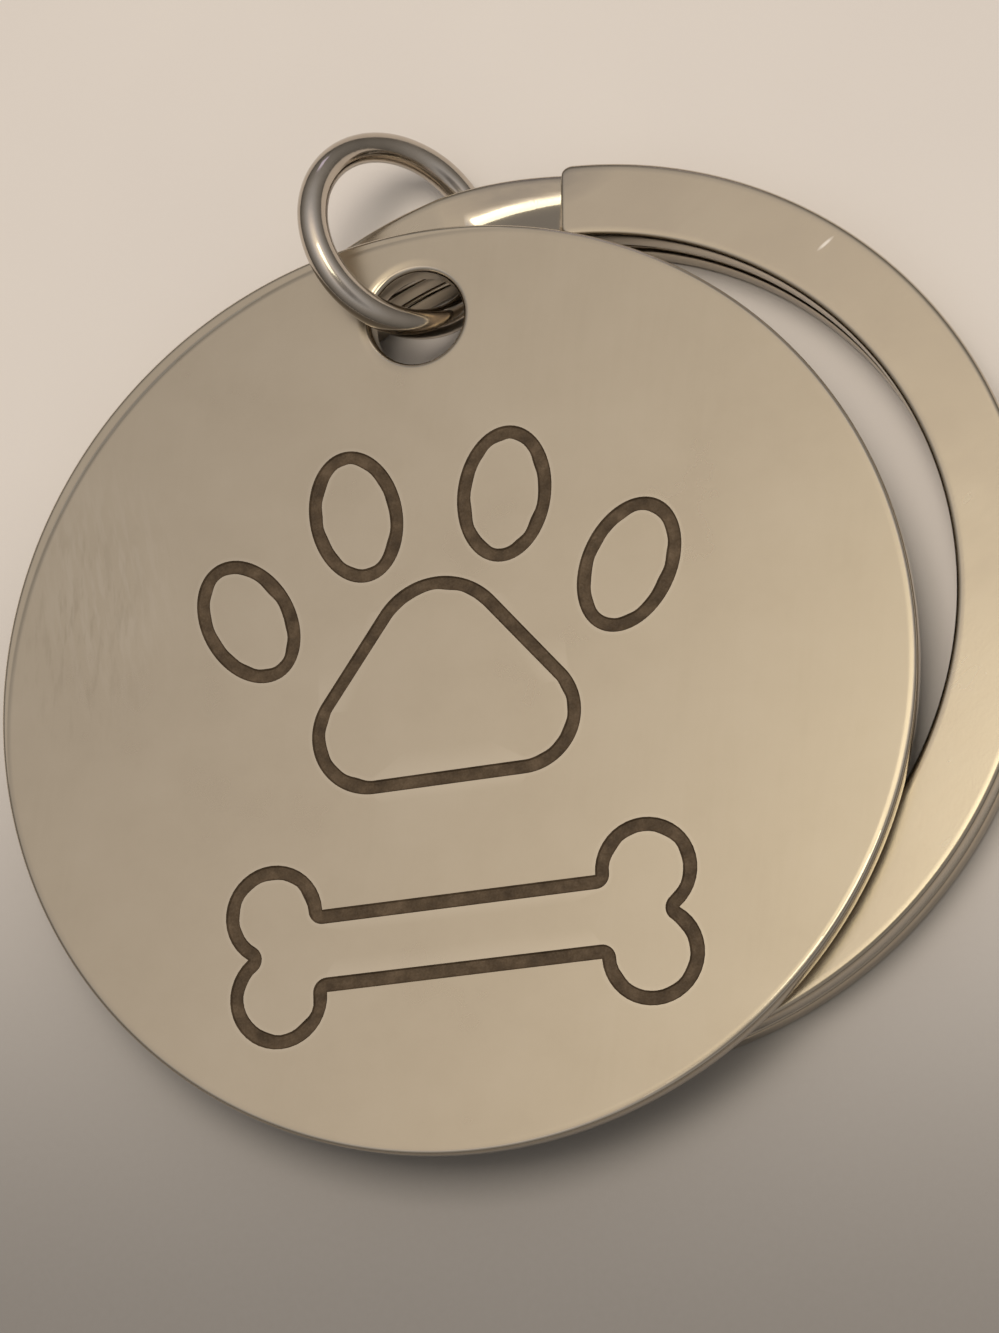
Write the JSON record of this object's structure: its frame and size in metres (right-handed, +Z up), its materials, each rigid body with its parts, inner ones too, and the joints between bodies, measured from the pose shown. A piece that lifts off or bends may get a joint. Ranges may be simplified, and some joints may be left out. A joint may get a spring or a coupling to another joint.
{
  "type": "pet id tag",
  "caption": "Round engraved steel pet tag with a rolled edge, hung by a wire jump ring on a flat two-coil split ring that goes on a collar.",
  "frame": {"origin": "centre of the split ring, on the table that its lower coil lies on", "axes": "+Z up from the table along the split ring's axis, +Y up the tag's face from its centre to its hole"},
  "size_m": [0.0338, 0.0338, 0.0056],
  "materials": {
    "tag_steel": "satin steel with dark engraved lines",
    "wire_steel": "polished drawn wire",
    "strip_steel": "tumbled satin steel"
  },
  "bodies": {
    "split_ring": {"split_ring": "strip_steel"},
    "jump_ring": {"jump_ring": "wire_steel"},
    "tag": {"tag_disc": "tag_steel"}
  },
  "joints": [
    {"name": "jump_ring_turn", "type": "hinge", "parent": "split_ring", "child": "jump_ring", "pos_m": [-0.00448, 0.01313, 0.00284], "axis": [0.7154, 0.0752, 0.6947], "range_deg": [-65, 0]},
    {"name": "tag_swivel", "type": "hinge", "parent": "jump_ring", "child": "tag", "pos_m": [-0.00395, 0.00997, 0.00295], "axis": [0, 0, 1], "range_deg": [0, 30]}
  ]
}
